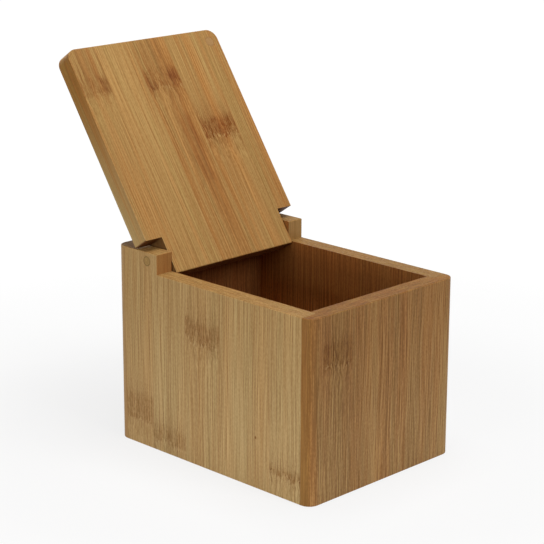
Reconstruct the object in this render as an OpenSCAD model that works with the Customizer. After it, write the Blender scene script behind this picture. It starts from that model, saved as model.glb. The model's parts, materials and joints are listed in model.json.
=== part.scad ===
// Salt box with a hinged lid, made of laminated bamboo boards.
// The front of the box faces -Y, the hinge is at the back, and the lid is drawn open.
// The origin is the middle of the underside.

/* [Box] */
// Width of the box across its front
box_w = 110; // [90:1:160]
// Depth of the box from front to back
box_d = 144; // [120:1:220]
// Height of the rim at the front and along the sides
rim_h = 98.7; // [70:0.1:160]
// Radius of the upright outer corners
corner_r = 6; // [3:0.5:9]
// Radius that eases the outer edges of the boards
edge_r = 0.5; // [0.4:0.1:1.4]

/* [Boards] */
// Thickness of the side boards
side_t = 10.7; // [8:0.1:14]
// Thickness of the front board
front_t = 10.8; // [8:0.1:14]
// Thickness of the back board
back_t = 10; // [8:0.5:12]
// Thickness of the lip that the front and back boards carry past each side board
lip_t = 6.5; // [5:0.1:7.5]
// Thickness of the base board
base_t = 6; // [4:0.5:10]
// Depth of the rebate that lets the base into each wall
base_let = 4; // [2:0.5:5]

/* [Lid] */
// Thickness of the lid
lid_t = 10.6; // [9:0.1:13]
// Gap between the shut lid and the rim
shut_gap = 0.2; // [0.1:0.1:0.6]
// Distance that each side edge of the lid stands in from the side of the box
lid_inset = 0.2; // [0:0.1:1]
// Distance that the shut lid reaches past the front of the box
lid_overhang = 2.3; // [0:0.1:6]
// Radius of the two free corners of the lid, seen from above
lid_corner_r = 6.5; // [3:0.5:12]

/* [Tongue] */
// Gap between the tongue and each ear
tongue_gap = 0.5; // [0.4:0.1:1.5]
// Gap between the swinging tongue and the back board
swing_gap = 1.2; // [0.5:0.1:2]
// Radius of the two long edges at the end of the tongue
tongue_edge_r = 0.8; // [0.5:0.1:3]

/* [Hinge] */
// Distance from the back face to the hinge axis
hinge_back = 24.3; // [22:0.1:32]
// Depth of the hinge axis below the top of the ears
hinge_drop = 4.8; // [4.6:0.1:6]
// Angle from the shut lid to the open lid
open_angle = 124; // [112:1:130]
// Gap between the open lid's shoulders and the tops of the ears
stop_gap = 0.2; // [0.1:0.1:0.5]
// Gap between the swinging shoulders and the front edges of the ears
ear_gap = 0.4; // [0.2:0.1:1]
// Diameter of the hinge dowels
dowel_d = 5.5; // [4:0.5:6]
// Length of each dowel inside the lid
dowel_reach = 12; // [8:1:20]
// Radial clearance of the dowels in the lid
dowel_play = 0.08; // [0.03:0.01:0.1]

/* [Plug] */
// Diameter of the round plug in the lid's underside
plug_d = 6; // [4:0.5:8]
// Depth of the plug
plug_depth = 5; // [3:0.5:7]
// Distance from the plug's centre to the lid's right edge
plug_from_side = 7; // [6:0.1:20]
// Distance from the plug's centre to the lid's free end
plug_from_end = 7.5; // [6:0.1:20]

/* [Hidden] */
$fn = 96;

// Extra length of a cutting tool past the face that it opens
cut = 1;

// Colours of the boards, the lid and the end grain of dowels and plug
board_colour = [0.66, 0.52, 0.34];
front_colour = [0.55, 0.41, 0.26];
lid_colour = [0.70, 0.53, 0.31];
base_colour = [0.60, 0.46, 0.29];
dowel_colour = [0.58, 0.45, 0.28];

// The ears stand up beside the lid, flush with its top when it is shut
ear_h = rim_h + shut_gap + lid_t;
inner_w = box_w - 2 * side_t;
front_face = -box_d / 2;
back_face = box_d / 2;

// Hinge axis, in the box
axis_y = back_face - hinge_back;
axis_z = ear_h - hinge_drop;

// Faces of the lid, seen from the hinge axis with the lid shut
lid_top = hinge_drop;
lid_under = hinge_drop - lid_t;
lid_w = box_w - 2 * lid_inset;
lid_reach = axis_y - front_face + lid_overhang;

// The top edge of each shoulder comes down on the ears at the open angle
shoulder = (lid_top * (1 - cos(open_angle)) + stop_gap) / sin(open_angle);
// The eased front edge of each ear lets the shoulder swing past
ear_front = edge_r + sqrt(pow(shoulder - ear_gap - edge_r, 2) - pow(hinge_drop - edge_r, 2));
ear_y = axis_y - ear_front;
// The far edge of the tongue swings past the back board
tongue_back = sqrt(pow(hinge_back - back_t - swing_gap, 2) - pow(lid_under, 2));
tongue_w = inner_w - 2 * tongue_gap;

dowel_l = side_t + tongue_gap + dowel_reach;
dowel_end_bevel = 0.5;
// Room left past the end of a dowel in its blind bore
bore_spare = 1;

// Rectangle with round corners, centred
module rounded_rect(w, d, r) {
    square([w - 2 * r, d], center = true);
    square([w, d - 2 * r], center = true);
    for (x = [-1, 1], y = [-1, 1])
        translate([x * (w / 2 - r), y * (d / 2 - r)])
            circle(r);
}

// Upright round post whose two end edges are eased
module eased_post(r, h, e) {
    rotate_extrude() {
        square([r - e, h]);
        translate([0, e])
            square([r, h - 2 * e]);
        translate([r - e, e])
            circle(e);
        translate([r - e, h - e])
            circle(e);
    }
}

// What is cut away outside a round corner at +X +Y of the origin, with its end edges eased
module corner_waste(r, h, e) {
    difference() {
        translate([0, 0, -cut])
            cube([r + cut, r + cut, h + 2 * cut]);
        eased_post(r, h, e);
    }
}

// The outside of the box at a given height: round upright corners, eased edges
module outer_block(h) {
    difference() {
        intersection() {
            translate([0, 0, h / 2])
                rotate([90, 0, 90])
                    linear_extrude(box_w, center = true)
                        rounded_rect(box_d, h, edge_r);
            translate([0, 0, h / 2])
                rotate([90, 0, 0])
                    linear_extrude(box_d, center = true)
                        rounded_rect(box_w, h, edge_r);
        }
        for (x = [0, 1], y = [0, 1])
            mirror([x, 0, 0])
                mirror([0, y, 0])
                    translate([box_w / 2 - corner_r, box_d / 2 - corner_r, 0])
                        corner_waste(corner_r, h, edge_r);
    }
}

// Box between two corners
module span(low, high) {
    translate(low)
        cube(high - low);
}

// Space that the base board fills, open below by a given amount
module base_space(below) {
    span([-inner_w / 2 - base_let, front_face + front_t - base_let, -below],
         [inner_w / 2 + base_let, back_face - back_t + base_let, base_t]);
}

// A front or back board: thick between the sides, with a thin lip past each of them
module end_board(outer, thickness, h) {
    inward = -sign(outer);
    difference() {
        intersection() {
            outer_block(h);
            union() {
                translate([-box_w / 2, min(outer, outer + inward * lip_t), 0])
                    cube([box_w, lip_t, h]);
                translate([-inner_w / 2, min(outer, outer + inward * thickness), 0])
                    cube([inner_w, thickness, h]);
            }
        }
        base_space(cut);
    }
}

// Dowel hole through one ear, for side -1 or 1
module ear_bore(side) {
    translate([side * (box_w / 2 - side_t / 2), axis_y, axis_z])
        rotate([0, 90, 0])
            cylinder(h = side_t + 2 * cut, d = dowel_d, center = true);
}

// A side board with its ear, for side -1 or 1
module side_board(side) {
    low_x = side < 0 ? -box_w / 2 : inner_w / 2;
    difference() {
        union() {
            intersection() {
                outer_block(rim_h);
                span([low_x, front_face + lip_t, 0], [low_x + side_t, back_face - lip_t, rim_h]);
            }
            intersection() {
                outer_block(ear_h);
                ear_profile(low_x);
            }
        }
        base_space(cut);
        ear_bore(side);
    }
}

// The rear part of a side board as a profile, with its front top edge eased
module ear_profile(low_x) {
    translate([low_x, 0, 0])
        rotate([90, 0, 90])
            linear_extrude(side_t) {
                translate([ear_y, 0])
                    square([back_face - lip_t - ear_y, ear_h - edge_r]);
                translate([ear_y + edge_r, 0])
                    square([back_face - lip_t - ear_y - edge_r, ear_h]);
                translate([ear_y + edge_r, ear_h - edge_r])
                    circle(edge_r);
            }
}

// Outline of the lid seen from above: a plate with a narrower tongue behind its shoulders
module lid_outline() {
    translate([-lid_w / 2, -lid_reach])
        square([lid_w, lid_reach - shoulder]);
    translate([-tongue_w / 2, -lid_reach])
        square([tongue_w, lid_reach + tongue_back]);
}

// Side profile of the lid, with the edges of both its ends eased
module lid_profile() {
    for (z = [lid_under + edge_r, lid_top - edge_r])
        translate([-lid_reach + edge_r, z])
            circle(edge_r);
    for (z = [lid_under + tongue_edge_r, lid_top - tongue_edge_r])
        translate([tongue_back - tongue_edge_r, z])
            circle(tongue_edge_r);
    translate([-lid_reach + edge_r, lid_under])
        square([lid_reach - edge_r + tongue_back - tongue_edge_r, lid_t]);
    translate([-lid_reach, lid_under + edge_r])
        square([lid_reach, lid_t - 2 * edge_r]);
    translate([0, lid_under + tongue_edge_r])
        square([tongue_back, lid_t - 2 * tongue_edge_r]);
}

// The lid without its holes: where its outline, side profile and front profile meet
module lid_board() {
    difference() {
        intersection() {
            translate([0, 0, lid_under])
                linear_extrude(lid_t)
                    lid_outline();
            rotate([90, 0, 90])
                linear_extrude(lid_w, center = true)
                    lid_profile();
            translate([0, 0, lid_under + lid_t / 2])
                rotate([90, 0, 0])
                    linear_extrude(2 * lid_reach, center = true)
                        rounded_rect(lid_w, lid_t, edge_r);
        }
        for (x = [0, 1])
            mirror([x, 0, 0])
                mirror([0, 1, 0])
                    translate([lid_w / 2 - lid_corner_r, lid_reach - lid_corner_r, lid_under])
                        corner_waste(lid_corner_r, lid_t, edge_r);
    }
}

// The lid as it lies when it is shut, with the hinge axis through the origin
module lid_shut() {
    difference() {
        lid_board();
        for (side = [-1, 1])
            lid_bore(side);
        plug_space(cut);
    }
}

// Blind hole in one edge of the tongue, for side -1 or 1
module lid_bore(side) {
    depth = dowel_reach + bore_spare;
    translate([side * (tongue_w / 2 + cut / 2 - depth / 2), 0, 0])
        rotate([0, 90, 0])
            cylinder(h = depth + cut, d = dowel_d + 2 * dowel_play, center = true);
}

// Place of the round plug in the lid's underside, open below by a given amount
module plug_space(below) {
    translate([lid_w / 2 - plug_from_side, -lid_reach + plug_from_end, lid_under - below])
        cylinder(h = plug_depth + below, d = plug_d);
}

// Swings what belongs to the lid to its open place on the box
module opened() {
    translate([0, axis_y, axis_z])
        rotate([-open_angle, 0, 0])
            children();
}

// One hinge dowel, flush with the outside of its ear, for side -1 or 1
module hinge_dowel(side) {
    translate([side * box_w / 2, axis_y, axis_z])
        rotate([0, -side * 90, 0]) {
            cylinder(h = dowel_l - dowel_end_bevel, d = dowel_d);
            translate([0, 0, dowel_l - dowel_end_bevel])
                cylinder(h = dowel_end_bevel, d1 = dowel_d, d2 = dowel_d - 2 * dowel_end_bevel);
        }
}

module front_panel() {
    color(front_colour)
        end_board(front_face, front_t, rim_h);
}

module back_panel() {
    color(board_colour)
        end_board(back_face, back_t, ear_h);
}

module left_side() {
    color(board_colour)
        side_board(-1);
}

module right_side() {
    color(board_colour)
        side_board(1);
}

module base_panel() {
    color(base_colour)
        base_space(0);
}

module lid() {
    color(lid_colour)
        opened()
            lid_shut();
}

module lid_plug() {
    color(dowel_colour)
        opened()
            plug_space(0);
}

module hinge_dowel_left() {
    color(dowel_colour)
        hinge_dowel(-1);
}

module hinge_dowel_right() {
    color(dowel_colour)
        hinge_dowel(1);
}

front_panel();
back_panel();
left_side();
right_side();
base_panel();
lid();
lid_plug();
hinge_dowel_left();
hinge_dowel_right();
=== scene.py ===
"""Salt box with a hinged lid: laminated bamboo boards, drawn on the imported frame.

Lengths named _MM, and all lengths inside the materials, are in millimetres. The others are in
metres. The front of the box faces -Y, and the lid stands open at rest.
"""

import json
import math

import bpy
from mathutils import Matrix, Vector


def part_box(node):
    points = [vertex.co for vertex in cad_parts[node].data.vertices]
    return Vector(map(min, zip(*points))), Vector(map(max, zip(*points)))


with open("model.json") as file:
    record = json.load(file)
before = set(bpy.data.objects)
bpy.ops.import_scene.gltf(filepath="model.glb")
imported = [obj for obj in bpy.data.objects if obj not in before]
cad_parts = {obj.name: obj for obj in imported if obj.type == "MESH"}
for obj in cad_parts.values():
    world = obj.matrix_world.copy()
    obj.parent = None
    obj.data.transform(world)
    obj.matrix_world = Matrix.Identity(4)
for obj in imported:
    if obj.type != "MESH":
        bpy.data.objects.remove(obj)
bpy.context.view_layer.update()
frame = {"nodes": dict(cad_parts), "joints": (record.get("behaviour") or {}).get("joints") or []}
MM = 0.001
X, Y, Z = 0, 1, 2

# Camera of the photograph: an image 544 pixels square, its focal length in pixels,
# and where the middle of the box's underside lies along the camera's own axes
PHOTO_PX = 544
FOCAL_PX = 1875.1
SENSOR_MM = 36
CAMERA_AZIMUTH = -45.419
CAMERA_ELEVATION = 16.154
CAMERA_ROLL = 0.2065
ORIGIN_RIGHT = 0.006163
ORIGIN_UP = -0.093566
ORIGIN_AHEAD = 1.02357

# Lamps: name, place, size, level. A lamp of level 1 shows a colour that faces it as it is written.
# All are aimed at one point in the box
LAMPS = [
    ("left_lamp", (-1.50, -0.10, 0.22), 0.6, 0.59),
    ("high_lamp", (0.10, 0.00, 1.40), 0.8, 0.63),
    ("front_lamp", (0.10, -1.25, 0.90), 0.6, 0.32),
]
LAMP_TARGET = Vector((0, 0, 0.08))
ROOM_LEVEL = 0.14

# The floor: half its width, what it reflects near the box and far from it, the glow that the
# camera sees on it, dimmer near the box as a painted shade, how much of the shadow is kept, and
# the distances from the middle of the box between which each of these changes
FLOOR_HALF = 4.0
FLOOR_ALBEDO = 0.93
FLOOR_FAR_ALBEDO = 0.25
# Near the box the glow is dimmer: painted shade on the floor
FLOOR_SHADED_NEAR_GLOW = 0.975
FLOOR_FAR_GLOW = 1.03
FLOOR_SHADOW = 0.18
ALBEDO_FALLS_FROM, ALBEDO_FALLS_TO = 0.20, 0.60
GLOW_RISES_FROM, GLOW_RISES_TO = 0.14, 0.27
SHADOW_FULL_WITHIN, SHADOW_NONE_BEYOND = 0.20, 0.45

# The boards, measured on the frame
FRONT_LOW, FRONT_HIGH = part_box("front_panel")
BACK_LOW, BACK_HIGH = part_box("back_panel")
SIDE_LOW, SIDE_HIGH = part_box("right_side")
LID_HINGE = frame["joints"][0]
HINGE_AXIS = Vector(LID_HINGE["pos_m"])
OPEN_ANGLE = math.radians(LID_HINGE["range_deg"][1])
HALF_WIDTH_MM = FRONT_HIGH.x / MM
HALF_DEPTH_MM = BACK_HIGH.y / MM
RIM_MM = FRONT_HIGH.z / MM
TOP_MM = BACK_HIGH.z / MM
SIDE_T_MM = (SIDE_HIGH.x - SIDE_LOW.x) / MM
FRONT_T_MM = (FRONT_HIGH.y - FRONT_LOW.y) / MM
BACK_T_MM = (BACK_HIGH.y - BACK_LOW.y) / MM

# Where the first ply of a board ends, from its outside or from the lid's underside, and a shift
# that takes every knuckle off the next ply
LIP_PLY_MM = 6.5
SIDE_PLY_MM = 5.4
LID_PLY_MM = 5.3
NO_KNUCKLES_MM = 300.0

# The lid as it lies when shut, seen from the hinge axis, and its plug. The last number below is
# the place along its grain where the painted shade of its edges and ends at the hinge begins
LID_HALF_MM = 54.8
LID_REACH_MM = 122.0
LID_UNDER_MM = -5.8
PLUG_FROM_SIDE_MM = 7.0
PLUG_FROM_END_MM = 7.5
PLUG_RADIUS_MM = 3.0
DOWEL_RADIUS_MM = 2.75
HINGE_SHADE_MM = 112.5

# Colours of the boards, each as (dark, middle, light) fibres
SIDE_WOOD = ((0.280, 0.165, 0.061), (0.373, 0.239, 0.098), (0.468, 0.318, 0.142))
FRONT_WOOD = ((0.240, 0.119, 0.039), (0.340, 0.184, 0.064), (0.439, 0.258, 0.097))
LID_WOOD = ((0.308, 0.156, 0.044), (0.415, 0.226, 0.070), (0.522, 0.316, 0.110))
DOWEL_WOOD = ((0.225, 0.127, 0.036), (0.285, 0.168, 0.052), (0.344, 0.210, 0.070))
PLUG_WOOD = ((0.366, 0.192, 0.066), (0.421, 0.232, 0.086), (0.476, 0.281, 0.111))

# Tints: what a surface's colour is multiplied by
SIDE_KNUCKLE = (0.50, 0.33, 0.18)
FRONT_KNUCKLE = (0.52, 0.38, 0.16)
LID_KNUCKLE = (0.50, 0.27, 0.10)
GLUE_TINT = (0.62, 0.48, 0.36)
RED_TINT = (1.07, 0.90, 0.76)
OLIVE_TINT = (0.97, 1.03, 1.02)
# Painted shade inside the box: the walls, deepest near the top, and the back, deeper still
INSIDE_PAINTED_SHADE = ((0.62, 0.36, 0.20), (1.36, 0.88, 0.54))
BACK_INSIDE_PAINTED_SHADE = ((0.42, 0.22, 0.13), (0.58, 0.33, 0.21))
# Painted highlight on the rubbed corners
PAINTED_HIGHLIGHT_TINT = (1.22, 1.24, 1.28)
# Painted shade on the lid's edges and ends at the hinge
HINGE_SHADE_TINT = (0.36, 0.25, 0.18)
DOWEL_RING = (0.62, 0.62, 0.56)
PLUG_RING = (0.90, 0.86, 0.80)
PLAIN = (1.0, 1.0, 1.0)

# Pairs of tints, at the start and at the end of a board's grain. The first three are painted
# light: the sides and the front lighter towards the bottom, the lid lighter towards its free end
SIDE_PAINTED_LIGHT = ((0.95, 0.92, 0.84), (1.03, 1.05, 1.05))
FRONT_PAINTED_LIGHT = ((0.90, 0.81, 0.68), (1.05, 1.08, 1.08))
LID_PAINTED_LIGHT = ((1.05, 1.04, 1.02), (0.98, 0.94, 0.90))
NO_FADE = (PLAIN, PLAIN)

# Between which places along the grain the painted light of those pairs, the edge tints and the
# painted shade inside change
PAINTED_LIGHT_MM = (0, 100)
EDGE_FADE_MM = (10, 110)
INSIDE_SHADE_FADE_MM = (18, 50)
# How far below the inner face its painted shade begins, and where it is full
INSIDE_SKIN_MM = (0.35, 0.15)

# How strong the marks are that every board has, and the surface itself
GLUE_STRENGTH = 0.6
PORE_STRENGTH = 0.35
# How strong the painted highlight on the rubbed corners is
PAINTED_HIGHLIGHT_STRENGTH = 0.6
ROUGHNESS = 0.50
END_ROUGHNESS = 0.52
GLOSS = 0.16
RELIEF_MM = 0.05
END_RELIEF_MM = 0.06
RELIEF_STRENGTH = 0.6

# A board's strips: start across the board in mm, tone, warmth, then the knuckle that crosses the
# strip: its place along the grain in mm, half its height in mm, and its strength, 0 for none
LEFT_STRIPS = [
    (0.0, 0.45, 0.3, 88.5, 7.5, 0.62),
    (28.0, 0.52, 0.1, 99.5, 4.5, 0.56),
    (53.5, 0.48, 0.3, 36.0, 6.0, 0.72),
    (79.0, 0.52, 0.2, 0.0, 1.0, 0.0),
    (97.0, 0.50, 0.3, 0.0, 1.0, 0.0),
    (115.5, 0.52, 0.1, 96.0, 2.2, 0.75),
]
RIGHT_STRIPS = [
    (0.0, 0.50, 0.2, 0.0, 1.0, 0.0),
    (21.0, 0.56, 0.0, 71.0, 5.0, 0.7),
    (46.5, 0.47, 0.3, 0.0, 1.0, 0.0),
    (72.0, 0.52, 0.4, 30.0, 4.6, 0.6),
    (97.5, 0.45, 0.1, 84.0, 5.4, 0.7),
    (123.0, 0.54, 0.2, 0.0, 1.0, 0.0),
]
FRONT_STRIPS = [
    (0.0, 0.29, 1.0, 0.0, 1.0, 0.0),
    (4.6, 0.48, 0.5, 0.0, 1.0, 0.0),
    (9.0, 0.45, 0.1, 21.5, 6.5, 0.80),
    (30.0, 0.44, 0.5, 0.0, 1.0, 0.0),
    (43.0, 0.60, 0.0, 0.0, 1.0, 0.0),
    (51.3, 0.43, 0.5, 0.0, 1.0, 0.0),
    (72.0, 0.56, 0.2, 0.0, 1.0, 0.0),
    (93.0, 0.63, 0.2, 0.0, 1.0, 0.0),
]
BACK_STRIPS = [
    (0.0, 0.52, 0.2, 0.0, 1.0, 0.0),
    (17.0, 0.46, 0.3, 66.0, 5.0, 0.7),
    (41.0, 0.55, 0.1, 0.0, 1.0, 0.0),
    (65.0, 0.49, 0.2, 25.0, 4.5, 0.6),
    (89.0, 0.44, 0.4, 0.0, 1.0, 0.0),
]
BASE_STRIPS = [
    (0.0, 0.46, 0.2, 0.0, 1.0, 0.0),
    (25.0, 0.52, 0.3, 40.0, 4.5, 0.6),
    (50.0, 0.48, 0.1, 0.0, 1.0, 0.0),
    (75.0, 0.54, 0.2, 95.0, 4.5, 0.5),
]
LID_STRIPS = [
    (0.0, 0.58, 0.3, 23.5, 5.0, 0.54),
    (19.5, 0.66, 0.0, 0.0, 1.0, 0.0),
    (44.8, 0.44, 0.6, 25.0, 6.0, 0.68),
    (70.0, 0.52, 0.2, 58.5, 5.6, 1.02),
    (95.0, 0.48, 0.5, 0.0, 1.0, 0.0),
]

# Stains and dark fibres: middle across and along, half width, half length, strength
LEFT_STAINS = [
    (25.3, 38.0, 0.8, 46.0, 0.38),
    (40.5, 70.0, 2.2, 46.0, 0.18),
    (56.5, 20.0, 1.8, 15.0, 0.28),
    (79.4, 60.0, 0.6, 56.0, 0.30),
    (104.0, 50.0, 0.7, 60.0, 0.28),
    (115.2, 55.0, 0.6, 58.0, 0.40),
    (106.0, 81.8, 0.8, 1.0, 1.00),
]
FRONT_STAINS = [
    (5.6, 60.0, 1.0, 60.0, 0.30),
    (34.5, 28.0, 1.3, 42.0, 0.40),
    (39.0, 24.0, 0.8, 40.0, 0.30),
    (51.8, 45.0, 1.0, 60.0, 0.45),
    (57.5, 38.0, 1.7, 45.0, 0.34),
    (68.0, 32.0, 3.2, 42.0, 0.30),
    (82.0, 26.0, 1.1, 46.0, 0.28),
    (90.0, 40.0, 1.0, 60.0, 0.22),
]
LID_STAINS = [
    (65.5, 23.5, 5.5, 7.5, 0.75),
    (48.5, 28.5, 4.5, 6.0, 0.60),
    (17.0, 23.5, 4.0, 8.0, 0.55),
    (60.0, 70.0, 8.0, 46.0, 0.52),
    (46.3, 66.0, 1.7, 44.0, 0.34),
    (56.5, 8.0, 13.0, 15.0, 0.32),
    (9.0, 8.0, 13.0, 22.0, 0.48),
]


class Graph:
    """Short calls that add nodes to one material. A value is a number, a tuple or a socket."""

    def __init__(self, tree):
        self.tree = tree

    def node(self, kind, **settings):
        made = self.tree.nodes.new(kind)
        for name, value in settings.items():
            setattr(made, name, value)
        return made

    def feed(self, value, socket):
        if isinstance(value, bpy.types.NodeSocket):
            self.tree.links.new(value, socket)
        else:
            socket.default_value = value

    def math(self, operation, *values, clamp=False):
        made = self.node("ShaderNodeMath", operation=operation, use_clamp=clamp)
        for value, socket in zip(values, made.inputs):
            self.feed(value, socket)
        return made.outputs[0]

    def add(self, a, b):
        return self.math("ADD", a, b)

    def sub(self, a, b):
        return self.math("SUBTRACT", a, b)

    def mul(self, a, b):
        return self.math("MULTIPLY", a, b)

    def times(self, *values):
        """Product of the values."""
        product = values[0]
        for value in values[1:]:
            product = self.mul(product, value)
        return product

    def total(self, *values):
        """Sum of the values."""
        result = values[0]
        for value in values[1:]:
            result = self.add(result, value)
        return result

    def weighted(self, *pairs):
        """Sum of the values, each times its weight."""
        return self.total(*[self.mul(value, weight) for value, weight in pairs])

    def most(self, a, b):
        return self.math("MAXIMUM", a, b)

    def away(self, a, b):
        """Distance between two values."""
        return self.math("ABSOLUTE", self.sub(a, b))

    def length(self, a, b):
        """Length of the vector (a, b)."""
        return self.math("SQRT", self.add(self.mul(a, a), self.mul(b, b)))

    def ramp(self, value, start, end, low=0.0, high=1.0):
        """Smooth step from low at start to high at end. start may be above end."""
        made = self.node("ShaderNodeMapRange", interpolation_type="SMOOTHSTEP")
        if start > end:
            start, end, low, high = end, start, high, low
        for value_in, socket in zip((value, start, end, low, high), made.inputs):
            self.feed(value_in, socket)
        return made.outputs[0]

    def vector(self, x, y, z):
        made = self.node("ShaderNodeCombineXYZ")
        for value, socket in zip((x, y, z), made.inputs):
            self.feed(value, socket)
        return made.outputs[0]

    def split(self, vector):
        made = self.node("ShaderNodeSeparateXYZ")
        self.feed(vector, made.inputs[0])
        return made.outputs

    def noise(self, x, y, z, detail=1.0, roughness=0.5):
        """Noise about 0, mostly within 0.3 of it, whose cell is 1 in each of the three values."""
        made = self.node("ShaderNodeTexNoise", noise_dimensions="3D")
        self.feed(self.vector(x, y, z), made.inputs["Vector"])
        made.inputs["Scale"].default_value = 1.0
        made.inputs["Detail"].default_value = detail
        made.inputs["Roughness"].default_value = roughness
        return self.sub(made.outputs["Fac"], 0.5)

    def mix(self, factor, a, b, blend="MIX"):
        made = self.node("ShaderNodeMix", data_type="RGBA", blend_type=blend, clamp_factor=True)
        for value, name in ((factor, "Factor"), (a, "A"), (b, "B")):
            socket = next(s for s in made.inputs if s.name == name and s.enabled)
            if isinstance(value, tuple):
                value = (*value, 1.0)
            self.feed(value, socket)
        return next(s for s in made.outputs if s.enabled)

    def tint(self, colour, tint, amount):
        """The colour multiplied by a tint, in part."""
        return self.mix(amount, colour, tint, "MULTIPLY")

    def between(self, value, colours, low=0.1, high=0.9):
        """Runs through three colours, evenly from low to high."""
        made = self.node("ShaderNodeValToRGB")
        elements = made.color_ramp.elements
        elements.new(0.5)
        for element, position, colour in zip(elements, (low, (low + high) / 2, high), colours):
            element.position = position
            element.color = (*colour, 1.0)
        self.feed(value, made.inputs[0])
        return made.outputs[0]

    def pick(self, value, starts, rows):
        """The row of three numbers that belongs to the last start below the value."""
        picked = self.vector(*rows[0])
        for start, row, before in zip(starts[1:], rows[1:], rows):
            step = self.node("ShaderNodeVectorMath", operation="MULTIPLY_ADD")
            self.feed(self.math("GREATER_THAN", value, start), step.inputs[0])
            step.inputs[1].default_value = tuple(b - a for a, b in zip(before, row))
            self.feed(picked, step.inputs[2])
            picked = step.outputs[0]
        return self.split(picked)

    def bump(self, height, depth_mm, strength):
        made = self.node("ShaderNodeBump")
        made.inputs["Strength"].default_value = strength
        made.inputs["Distance"].default_value = depth_mm * MM
        self.feed(height, made.inputs["Height"])
        return made.outputs[0]


def new_material(name):
    material = bpy.data.materials.new(name)
    material.use_nodes = True
    graph = Graph(material.node_tree)
    shader = next(n for n in graph.tree.nodes if n.type == "BSDF_PRINCIPLED")
    return material, graph, shader


def laid_shut(graph, vector, pivot):
    """Turns a vector of the open lid back to the shut lid, seen from the hinge axis."""
    from_pivot = graph.node("ShaderNodeVectorMath", operation="SUBTRACT")
    graph.feed(vector, from_pivot.inputs[0])
    from_pivot.inputs[1].default_value = pivot
    turn = graph.node("ShaderNodeMapping", vector_type="POINT")
    graph.feed(from_pivot.outputs[0], turn.inputs["Vector"])
    turn.inputs["Rotation"].default_value = (OPEN_ANGLE, 0, 0)
    return turn.outputs[0]


def board_axes(graph, axes, lid):
    """Place and facing of a point as (across the strips, along the grain, through the board).

    axes gives, for each of the three, the frame's axis, the place of its zero in mm and its sign.
    """
    source = graph.node("ShaderNodeTexCoord")
    place, normal = source.outputs["Object"], source.outputs["Normal"]
    if lid:
        place = laid_shut(graph, place, HINGE_AXIS)
        normal = laid_shut(graph, normal, Vector((0, 0, 0)))
    places, normals = graph.split(place), graph.split(normal)
    found = [
        graph.math("MULTIPLY_ADD", places[axis], sign / MM, -sign * zero)
        for axis, zero, sign in axes
    ]
    facing = [graph.math("ABSOLUTE", normals[axis]) for axis, _, _ in axes]
    return found, facing


# How far apart the noises of two neighbouring strips are
SEED_STEP = 7.3


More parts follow.
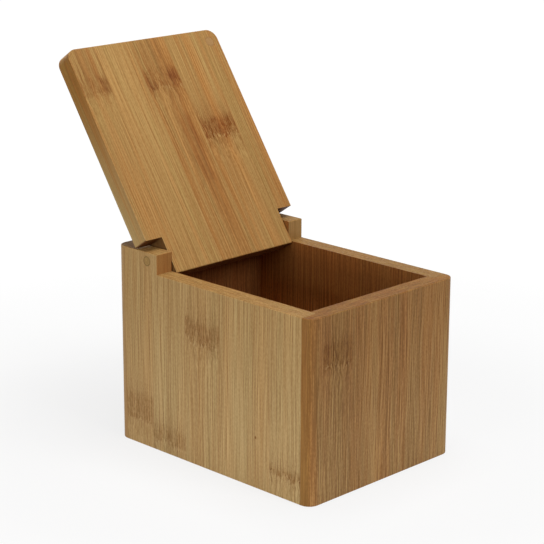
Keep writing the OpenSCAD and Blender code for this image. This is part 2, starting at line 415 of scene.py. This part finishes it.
class Board:
    """The marks of bamboo on one board, each a value from 0 to 1 or a noise about 0."""

    def __init__(self, graph, axes, strips, plies, lid):
        self.graph = graph
        self.place, self.facing = board_axes(graph, axes, lid)
        self.across, self.along, self.through = self.place
        self.shift_plies(plies)
        self.read_strips(strips)
        self.read_knuckle()
        self.bend_fibres()

    def shift_plies(self, plies):
        """Each further ply through the board has its strips and knuckles elsewhere."""
        graph = self.graph
        self.ply_joint = 0.0
        for start, shift_across, shift_along in plies:
            joint = graph.ramp(graph.away(self.through, start), 0.40, 0.10)
            self.ply_joint = graph.most(self.ply_joint, joint)
            deeper = graph.math("GREATER_THAN", self.through, start)
            self.across = graph.math("MULTIPLY_ADD", deeper, shift_across, self.across)
            self.along = graph.math("MULTIPLY_ADD", deeper, shift_along, self.along)

    def read_strips(self, strips):
        graph = self.graph
        starts = [strip[0] for strip in strips]
        marks = [
            (tone, warmth, SEED_STEP * number)
            for number, (_, tone, warmth, *_) in enumerate(strips)
        ]
        self.tone, self.warmth, self.seed = graph.pick(self.across, starts, marks)
        knuckles = [strip[3:] for strip in strips]
        self.knuckle_at, self.knuckle_half, knuckle = graph.pick(self.across, starts, knuckles)
        self.knuckle = graph.mul(knuckle, graph.ramp(self.facing[0], 0.9, 0.5))
        self.glue = 0.0
        for start in starts[1:]:
            line = graph.ramp(graph.away(self.across, start), 0.35, 0.05)
            self.glue = graph.most(self.glue, line)

    def cells(self, width, length, salt, detail=1.0, across=None):
        """Noise with cells of a given width and length. salt tells one noise from another."""
        graph = self.graph
        across = self.across if across is None else across
        depth = graph.math("MULTIPLY_ADD", self.through, 1 / width, graph.add(self.seed, salt))
        sideways, lengthways = graph.mul(across, 1 / width), graph.mul(self.along, 1 / length)
        return graph.noise(sideways, lengthways, depth, detail)

    def streaks(self, width, length, salt, detail=1.0):
        """Noise drawn out along the fibres."""
        return self.cells(width, length, salt, detail, across=self.fibre)

    def lines(self, width, length, salt):
        """Streaks less the same streaks two cells aside, which takes out their wide, soft part."""
        beside = self.graph.add(self.fibre, 2 * width)
        shifted = self.cells(width, length, salt, across=beside)
        return self.graph.sub(self.streaks(width, length, salt), shifted)

    def zone(self, fade_in, fade_out):
        """The knuckle's strength between two soft limits, each given as a ramp's values."""
        graph = self.graph
        return graph.times(graph.ramp(*fade_in), graph.ramp(*fade_out), self.knuckle)

    def read_knuckle(self):
        """Where the ring of the culm crosses the strip: ragged from fibre to fibre.

        core is the ring, rows a scalloped line near its lower end, lower_rim its lower end, shade
        its wider surroundings and tail the fibres below it.
        """
        graph = self.graph
        ragged = graph.add(
            graph.mul(self.cells(1.0, 400, 21, 2.0), 5.0),
            graph.mul(self.cells(9, 400, 22), 7.0),
        )
        past = graph.add(graph.sub(self.along, self.knuckle_at), ragged)
        above = graph.add(past, self.knuckle_half)
        below = graph.sub(past, self.knuckle_half)
        self.core = self.zone((above, -3.5, 2.5), (below, 0.8, -1.0))
        self.lower_rim = self.zone((below, -4.5, -1.0), (below, 1.8, 0.0))
        self.shade = self.zone((above, -15, 1.0), (below, 9.0, 0.0))
        self.tail = self.zone((below, -2.0, 1.0), (below, 24.0, 4.0))
        scallop = graph.math("MULTIPLY_ADD", self.cells(1.9, 400, 23), 5.5, below)
        on_row = graph.ramp(graph.away(scallop, -2.2), 0.9, 0.2)
        self.rows = graph.mul(on_row, self.knuckle)

    def bend_fibres(self):
        """The fibres run almost straight, and swerve beside a knuckle."""
        graph = self.graph
        near = graph.math("ADD", self.shade, self.tail, clamp=True)
        drift = graph.mul(self.cells(40, 90, 31), 1.8)
        waver = graph.mul(self.cells(8, 34, 32), 0.6)
        swerve = graph.times(self.cells(4.5, 8.0, 33), near, 3.6)
        self.fibre = graph.total(self.across, drift, waver, swerve)


def wood_tone(board, contrast, stretch, flecked, indoors):
    """Light and dark of the fibres, with 0.5 as the middle tone, and the two finest noises.

    contrast is for the board's wide faces, stretch lengthens the streaks, flecked is the weight of
    the short flecks, and indoors is 1 on the face that looks into the box.
    """
    graph = board.graph
    hair = board.lines(0.45, 22 * stretch, 1)
    fine = board.lines(0.90, 30 * stretch, 2)
    strand = board.streaks(1.7, 42 * stretch, 3)
    band = board.streaks(3.6, 75 * stretch, 4)
    broad = board.streaks(12.0, 160, 5)
    line = graph.ramp(board.streaks(0.60, 40 * stretch, 6), 0.08, 0.20)
    fleck = board.cells(0.55, 1.5, 8, 0.0)
    mottle = graph.mul(board.cells(1.4, 5.0, 7, 2.0), board.tail)
    fibres = graph.times(graph.math("MULTIPLY_ADD", indoors, 0.8, 1.0), graph.weighted(
        (hair, 1.20), (fine, 0.42), (strand, 0.26), (band, 0.26),
        (broad, 0.50), (line, -0.16), (fleck, flecked),
    ))
    flat_cut = graph.ramp(board.facing[2], 0.3, 0.8, 0.45, contrast)
    sawn = graph.ramp(board.facing[1], 0.5, 0.9)
    layers = graph.noise(
        graph.mul(board.across, 0.09), 9.0, graph.mul(board.through, 0.9), 2.0)
    dots = graph.noise(graph.mul(board.across, 0.7), 3.0, graph.mul(board.through, 1.1), 1.0)
    ends = graph.mul(graph.weighted((layers, 2.0), (dots, 0.9)), sawn)
    tone = graph.total(graph.mul(fibres, flat_cut), graph.mul(mottle, 1.6), ends, board.tone)
    return tone, hair, fine


def wood_hue(board, colour, redness):
    """Streaks of redder and of more olive fibres, and the warmth of each strip."""
    graph = board.graph
    fine = board.streaks(3.2, 90, 41)
    broad = board.streaks(9.0, 120, 42)
    swing = graph.mul(graph.weighted((fine, 1.3), (broad, 1.5)), redness)
    red = graph.math("ADD", graph.mul(board.warmth, 0.6), swing, clamp=True)
    olive = graph.math("MULTIPLY", swing, -1.6, clamp=True)
    return graph.tint(graph.tint(colour, RED_TINT, red), OLIVE_TINT, olive)


def knuckle_marks(board, colour, light, tint):
    """Blotches, short dashes and dots across a knuckle, with pale flecks at its lower rim."""
    graph = board.graph
    cloud = graph.ramp(board.cells(4.5, 4.0, 51, 2.0), -0.10, 0.12)
    dashes = graph.ramp(board.cells(0.95, 4.0, 52), 0.0, 0.14)
    dots = graph.ramp(board.cells(0.60, 0.85, 53, 0.0), 0.16, 0.24)
    flecks = graph.ramp(board.cells(1.0, 2.6, 54), 0.05, 0.14)
    fibres = graph.ramp(board.streaks(1.0, 40, 55), -0.08, 0.14)
    blotched = graph.total(0.26, graph.mul(cloud, 0.22), graph.mul(dashes, 0.44))
    dotted = graph.math("MULTIPLY_ADD", dots, 0.25, 0.55)
    depth = graph.most(graph.times(board.core, blotched), graph.mul(board.rows, dotted))
    soft = graph.times(board.shade, graph.total(0.10, graph.mul(fibres, 0.28)))
    colour = graph.tint(colour, tint, graph.math("ADD", depth, soft, clamp=True))
    scattered = graph.times(dots, graph.most(board.core, board.shade), 0.5)
    colour = graph.tint(colour, tint, scattered)
    return graph.mix(graph.times(flecks, board.lower_rim, 0.75), colour, light)


def stain_marks(board, colour, stains, tint):
    """Soft stains that follow the fibres."""
    graph = board.graph
    fray = board.cells(2.5, 14, 61, 2.0)
    strands = graph.ramp(board.streaks(0.9, 60, 62), -0.16, 0.12)
    for middle, place, half, reach, strength in stains:
        aside = graph.mul(graph.sub(board.fibre, middle), 1 / half)
        along = graph.mul(graph.sub(board.along, place), 1 / reach)
        radius = graph.math("MULTIPLY_ADD", fray, 1.5, graph.length(aside, along))
        inside = graph.ramp(radius, 1.0, 0.25)
        amount = graph.times(inside, graph.math("MULTIPLY_ADD", strands, 0.6, 0.4), strength)
        colour = graph.tint(colour, tint, amount)
    return colour


def glue_marks(board, colour):
    """Glue lines between strips and between plies, broken up along their length."""
    graph = board.graph
    broken = graph.ramp(board.cells(3.0, 16, 71), -0.12, 0.16, 0.15, 0.8)
    joints = graph.most(board.glue, board.ply_joint)
    return graph.tint(colour, GLUE_TINT, graph.times(joints, broken, GLUE_STRENGTH))


def rubbed_and_highlit_corners(board):
    """1 on the rounded corners that turn towards a cut end, in patches. Their colour gets a painted
    highlight, and their gloss is smoother where hands have rubbed them.
    """
    graph = board.graph
    across, along, through = board.facing
    flattest = graph.most(graph.most(across, along), through)
    worn = graph.ramp(board.cells(5, 14, 73), -0.2, 0.15, 0.3, 1.0)
    return graph.times(graph.ramp(flattest, 0.99, 0.86), graph.ramp(along, 0.12, 0.35), worn)


def surface(board, shader, hair, fine, on_end, rubbed_and_highlit, pores):
    """Gloss and relief. Dark fibres, knuckles and cut ends are rougher, rubbed corners smoother."""
    graph = board.graph
    matt = graph.weighted((fine, -0.35), (hair, -0.25), (board.core, 0.06))
    rough = graph.total(ROUGHNESS, matt, graph.mul(on_end, 0.10), graph.mul(rubbed_and_highlit, -0.05))
    graph.feed(rough, shader.inputs["Roughness"])
    shader.inputs["Specular IOR Level"].default_value = GLOSS
    pits = graph.mul(board.cells(1.0, 2.8, 74), board.core)
    relief = graph.total(
        graph.weighted((hair, 1.0), (fine, 0.8), (board.glue, -0.25), (pits, 0.6)),
        graph.times(pores, on_end, -0.5),
    )
    graph.feed(graph.bump(relief, RELIEF_MM, RELIEF_STRENGTH), shader.inputs["Normal"])


def bamboo(name, axes, strips, wood, knuckle_tint, plies=(), thickness=None, stains=(),
           contrast=1.0, stretch=1.0, flecked=0.5, redness=0.6, painted_light=NO_FADE, edge_tints=NO_FADE,
           end_tint=PLAIN, inside_painted_shade=INSIDE_PAINTED_SHADE, hinge_shade=None, lid=False):
    """Material of one laminated board.

    plies gives, for each ply after the first, where it starts through the board, and how far its
    strips and its knuckles are shifted. thickness is the place through the board of the face that
    looks into the box, and the inside tints paint shade on that face from its top down. contrast,
    stretch and flecked are told in wood_tone. redness is how far fibres differ in hue. The pair for
    painted light paints light on the wood, changing from the start of its grain to its end,
    edge_tints colour the long edges alone from the start of the grain to its end, and end_tint
    colours the cut ends. The pair for the hinge shade gives a place along the grain and the painted
    shade of the edges and ends beyond it.
    """
    material, graph, shader = new_material(name)
    board = Board(graph, axes, strips, plies, lid)
    across, along, _ = board.facing
    down = board.place[1]
    indoors = 0.0
    if thickness:
        indoors = graph.ramp(board.place[2], *[thickness - depth for depth in INSIDE_SKIN_MM])
    tone, hair, fine = wood_tone(board, contrast, stretch, flecked, indoors)
    colour = wood_hue(board, graph.between(tone, wood), redness)
    # Painted light: the wood lighter towards one end of its grain
    painted_light_tint = graph.mix(graph.ramp(down, *PAINTED_LIGHT_MM), *painted_light)
    colour = graph.mix(1.0, colour, painted_light_tint, "MULTIPLY")
    colour = knuckle_marks(board, colour, wood[2], knuckle_tint)
    colour = stain_marks(board, colour, stains, knuckle_tint)
    colour = glue_marks(board, colour)

    # Long edges, cut ends, rubbed corners with a painted highlight, the painted shade inside the
    # box and the painted shade at the hinge
    on_edge = graph.ramp(across, 0.55, 0.90)
    on_end = graph.ramp(along, 0.55, 0.90)
    edge = graph.mix(graph.ramp(down, *EDGE_FADE_MM), *edge_tints)
    colour = graph.tint(colour, edge, on_edge)
    colour = graph.tint(colour, end_tint, on_end)
    pores = graph.ramp(board.cells(0.45, 40, 72, 0.0), 0.10, 0.20)
    colour = graph.tint(colour, GLUE_TINT, graph.times(pores, on_end, PORE_STRENGTH))
    # Painted highlight on the rubbed corners, which are smoother too
    rubbed_and_highlit = rubbed_and_highlit_corners(board)
    colour = graph.tint(colour, PAINTED_HIGHLIGHT_TINT, graph.mul(rubbed_and_highlit, PAINTED_HIGHLIGHT_STRENGTH))
    # Painted shade on the face that looks into the box, deepest near the top
    if thickness:
        inside = graph.mix(graph.ramp(down, *INSIDE_SHADE_FADE_MM), *inside_painted_shade)
        colour = graph.tint(colour, inside, indoors)
    # Painted shade on the edges and ends past a place along the grain, at the hinge
    if hinge_shade:
        start, hinge_shade_tint = hinge_shade
        beyond = graph.ramp(down, start - 0.5, start)
        in_hinge_shade = graph.mul(beyond, graph.most(on_edge, on_end))
        colour = graph.tint(colour, hinge_shade_tint, in_hinge_shade)
    graph.feed(colour, shader.inputs["Base Color"])
    surface(board, shader, hair, fine, on_end, rubbed_and_highlit, pores)
    return material


def cut_end(name, axes, radius_mm, wood, ring_tint, lid=False):
    """Round end of a dowel or a plug: dots of cut fibres, and a thin ring where it is glued in.

    The piece's axis runs along its grain, and across and through are measured from the axis.
    """
    material, graph, shader = new_material(name)
    (across, along, through), _ = board_axes(graph, axes, lid)
    dots = graph.noise(
        graph.mul(across, 2.2), graph.mul(along, 0.05), graph.mul(through, 2.2), 2.0)
    cloud = graph.noise(
        graph.mul(across, 0.5), graph.mul(along, 0.03), graph.mul(through, 0.5))
    tone = graph.total(0.5, graph.mul(dots, 1.2), graph.mul(cloud, 0.8))
    ring = graph.ramp(graph.length(across, through), radius_mm - 0.9, radius_mm - 0.4)
    ringed = graph.mul(ring, graph.math("MULTIPLY_ADD", cloud, 1.5, 0.8))
    colour = graph.tint(graph.between(tone, wood), ring_tint, ringed)
    graph.feed(colour, shader.inputs["Base Color"])
    rough = graph.math("MULTIPLY_ADD", dots, 0.3, END_ROUGHNESS)
    graph.feed(rough, shader.inputs["Roughness"])
    shader.inputs["Specular IOR Level"].default_value = GLOSS
    relief = graph.sub(dots, graph.mul(ring, 0.4))
    graph.feed(graph.bump(relief, END_RELIEF_MM, RELIEF_STRENGTH), shader.inputs["Normal"])
    return material


def side_bamboo(name, outside_mm, inward, strips, ply_shift, edge_tint, end_tint, stains=()):
    """Material of a side board. inward is the direction from its outside into the box, 1 or -1."""
    return bamboo(
        name, [(Y, HALF_DEPTH_MM, -1), (Z, TOP_MM, -1), (X, outside_mm, inward)],
        strips, SIDE_WOOD, SIDE_KNUCKLE, plies=[(SIDE_PLY_MM, ply_shift, NO_KNUCKLES_MM)],
        thickness=SIDE_T_MM, stains=stains, stretch=1.6, redness=0.5, painted_light=SIDE_PAINTED_LIGHT,
        edge_tints=(edge_tint, edge_tint), end_tint=end_tint)


def make_materials():
    """The finish of every CAD piece."""
    dowel_axes = [(Y, HINGE_AXIS.y / MM, 1), (X, 0, 1), (Z, HINGE_AXIS.z / MM, 1)]
    dowel = cut_end("dowel_end_grain", dowel_axes, DOWEL_RADIUS_MM, DOWEL_WOOD, DOWEL_RING)
    plug_axes = [
        (X, LID_HALF_MM - PLUG_FROM_SIDE_MM, 1), (Z, 0, 1),
        (Y, PLUG_FROM_END_MM - LID_REACH_MM, 1),
    ]
    return {
        "left_side": side_bamboo(
            "left_side_bamboo", -HALF_WIDTH_MM, 1, LEFT_STRIPS, ply_shift=11.0,
            edge_tint=(1.11, 0.82, 0.62), end_tint=(1.04, 0.93, 0.76), stains=LEFT_STAINS),
        "right_side": side_bamboo(
            "right_side_bamboo", HALF_WIDTH_MM, -1, RIGHT_STRIPS, ply_shift=9.0,
            edge_tint=(1.10, 0.98, 0.82), end_tint=(0.86, 0.74, 0.57)),
        "front_panel": bamboo(
            "front_bamboo", [(X, -HALF_WIDTH_MM, 1), (Z, RIM_MM, -1), (Y, -HALF_DEPTH_MM, 1)],
            FRONT_STRIPS, FRONT_WOOD, FRONT_KNUCKLE,
            plies=[(LIP_PLY_MM, 7.0, NO_KNUCKLES_MM)], thickness=FRONT_T_MM,
            stains=FRONT_STAINS, contrast=1.25, redness=0.9, painted_light=FRONT_PAINTED_LIGHT,
            edge_tints=((0.86, 0.91, 0.72), (0.79, 0.84, 0.65)), end_tint=(0.82, 0.75, 0.53)),
        "back_panel": bamboo(
            "back_bamboo", [(X, HALF_WIDTH_MM, -1), (Z, TOP_MM, -1), (Y, HALF_DEPTH_MM, -1)],
            BACK_STRIPS, SIDE_WOOD, SIDE_KNUCKLE,
            plies=[(LIP_PLY_MM, 8.0, NO_KNUCKLES_MM)], thickness=BACK_T_MM,
            # A deeper painted shade inside the back
            inside_painted_shade=BACK_INSIDE_PAINTED_SHADE,
            edge_tints=((0.90, 0.84, 0.80), (0.90, 0.84, 0.80)), end_tint=(0.92, 0.86, 0.82)),
        "base_panel": bamboo(
            "base_bamboo", [(X, -HALF_WIDTH_MM, 1), (Y, -HALF_DEPTH_MM, 1), (Z, 0, 1)],
            BASE_STRIPS, FRONT_WOOD, FRONT_KNUCKLE),
        "lid": bamboo(
            "lid_bamboo", [(X, -LID_HALF_MM, 1), (Y, -LID_REACH_MM, 1), (Z, LID_UNDER_MM, 1)],
            LID_STRIPS, LID_WOOD, LID_KNUCKLE, plies=[(LID_PLY_MM, 12.0, 37.0)],
            stains=LID_STAINS, contrast=0.85, stretch=1.7, flecked=0.6, redness=1.6,
            painted_light=LID_PAINTED_LIGHT, edge_tints=((0.55, 0.48, 0.27), (0.79, 0.98, 1.22)),
            end_tint=(0.90, 0.85, 0.80), hinge_shade=(HINGE_SHADE_MM, HINGE_SHADE_TINT), lid=True),
        "lid_plug": cut_end(
            "plug_end_grain", plug_axes, PLUG_RADIUS_MM, PLUG_WOOD, PLUG_RING, lid=True),
        "hinge_dowel_left": dowel,
        "hinge_dowel_right": dowel,
    }


WELD_MM = 0.002
FLAT_ANGLE = math.radians(0.2)
BEVEL_MM = 0.12
BEVEL_ANGLE = math.radians(40)
# The corner where an ear meets the eased rim can't take a second easing
UNEASED = ("left_side", "right_side")


def dress(node, material):
    """Gives a CAD piece its finish and takes the last sharpness off its edges."""
    piece = frame["nodes"][node]
    for material_slot in piece.material_slots:
        material_slot.material = material
    if node in UNEASED:
        return
    weld = piece.modifiers.new("weld", "WELD")
    weld.merge_threshold = WELD_MM * MM
    flat = piece.modifiers.new("flat_faces", "DECIMATE")
    flat.decimate_type = "DISSOLVE"
    flat.angle_limit = FLAT_ANGLE
    bevel = piece.modifiers.new("eased", "BEVEL")
    bevel.width = BEVEL_MM * MM
    bevel.segments = 2
    bevel.limit_method = "ANGLE"
    bevel.angle_limit = BEVEL_ANGLE
    bevel.use_clamp_overlap = False
    bevel.loop_slide = False
    normals = piece.modifiers.new("normals", "WEIGHTED_NORMAL")
    normals.keep_sharp = False


def make_camera():
    """Camera at the photograph's viewpoint."""
    azimuth = math.radians(CAMERA_AZIMUTH)
    elevation = math.radians(CAMERA_ELEVATION)
    roll = math.radians(CAMERA_ROLL)
    back = Vector((
        math.sin(azimuth) * math.cos(elevation),
        -math.cos(azimuth) * math.cos(elevation),
        math.sin(elevation),
    ))
    level = Vector((math.cos(azimuth), math.sin(azimuth), 0))
    upright = back.cross(level)
    right = level * math.cos(roll) + upright * math.sin(roll)
    up = upright * math.cos(roll) - level * math.sin(roll)
    data = bpy.data.cameras.new("camera")
    data.sensor_width = SENSOR_MM
    data.lens = FOCAL_PX / PHOTO_PX * SENSOR_MM
    camera = bpy.data.objects.new("camera", data)
    bpy.context.scene.collection.objects.link(camera)
    place = back * ORIGIN_AHEAD - right * ORIGIN_RIGHT - up * ORIGIN_UP
    turn = Matrix((right, up, back)).transposed()
    camera.matrix_world = Matrix.Translation(place) @ turn.to_4x4()
    bpy.context.scene.camera = camera


def soft_lamp(name, place, size, level):
    """Square lamp aimed at the box, as bright there at any distance."""
    data = bpy.data.lights.new(name, "AREA")
    data.shape = "SQUARE"
    data.size = size
    aim = Vector(place) - LAMP_TARGET
    data.energy = level * math.pi ** 2 * aim.length ** 2
    lamp = bpy.data.objects.new(name, data)
    lamp.location = place
    lamp.rotation_mode = "QUATERNION"
    lamp.rotation_quaternion = aim.to_track_quat("Z", "Y")
    bpy.context.scene.collection.objects.link(lamp)


def seen_directly(graph):
    """1 for what the camera sees straight, in a reflection or through glass."""
    paths = graph.node("ShaderNodeLightPath").outputs
    opaque = graph.add(paths["Is Camera Ray"], paths["Is Glossy Ray"])
    return graph.math("ADD", opaque, paths["Is Transmission Ray"], clamp=True)


def make_room():
    """White surroundings that give a dim light of their own."""
    world = bpy.data.worlds.new("room")
    world.use_nodes = True
    bpy.context.scene.world = world
    graph = Graph(world.node_tree)
    background = next(n for n in graph.tree.nodes if n.type == "BACKGROUND")
    background.inputs["Color"].default_value = (1, 1, 1, 1)
    seen = seen_directly(graph)
    strength = graph.math("MULTIPLY_ADD", seen, 1.0 - ROOM_LEVEL, ROOM_LEVEL)
    graph.feed(strength, background.inputs["Strength"])


def make_floor():
    """Plain white floor that keeps a faint shadow of the box, with painted shade near the box."""
    mesh = bpy.data.meshes.new("floor")
    signs = ((-1, -1), (1, -1), (1, 1), (-1, 1))
    corners = [(x * FLOOR_HALF, y * FLOOR_HALF, 0) for x, y in signs]
    mesh.from_pydata(corners, [], [(0, 1, 2, 3)])
    floor = bpy.data.objects.new("floor", mesh)
    bpy.context.scene.collection.objects.link(floor)
    material, graph, shader = new_material("floor_white")
    places = graph.split(graph.node("ShaderNodeTexCoord").outputs["Object"])
    away = graph.length(places[X], places[Y])
    albedo = graph.ramp(
        away, ALBEDO_FALLS_FROM, ALBEDO_FALLS_TO, FLOOR_ALBEDO, FLOOR_FAR_ALBEDO)
    graph.feed(albedo, shader.inputs["Base Color"])
    shader.inputs["Roughness"].default_value = 0.9
    shader.inputs["Specular IOR Level"].default_value = 0.0
    glow = graph.node("ShaderNodeEmission")
    # The glow is dimmer near the box: painted shade on the floor
    glow_with_painted_shade = graph.ramp(
        away, GLOW_RISES_FROM, GLOW_RISES_TO, FLOOR_SHADED_NEAR_GLOW, FLOOR_FAR_GLOW)
    graph.feed(glow_with_painted_shade, glow.inputs["Strength"])
    mixed = graph.node("ShaderNodeMixShader")
    shadowed = graph.ramp(away, SHADOW_NONE_BEYOND, SHADOW_FULL_WITHIN, 0.0, FLOOR_SHADOW)
    graph.feed(graph.mul(seen_directly(graph), graph.sub(1.0, shadowed)), mixed.inputs[0])
    graph.feed(shader.outputs[0], mixed.inputs[1])
    graph.feed(glow.outputs[0], mixed.inputs[2])
    output = next(n for n in graph.tree.nodes if n.type == "OUTPUT_MATERIAL")
    graph.feed(mixed.outputs[0], output.inputs["Surface"])
    mesh.materials.append(material)


make_camera()
for node_name, finish in make_materials().items():
    dress(node_name, finish)
for lamp_values in LAMPS:
    soft_lamp(*lamp_values)
make_room()
make_floor()
bpy.context.scene.view_settings.view_transform = "Standard"
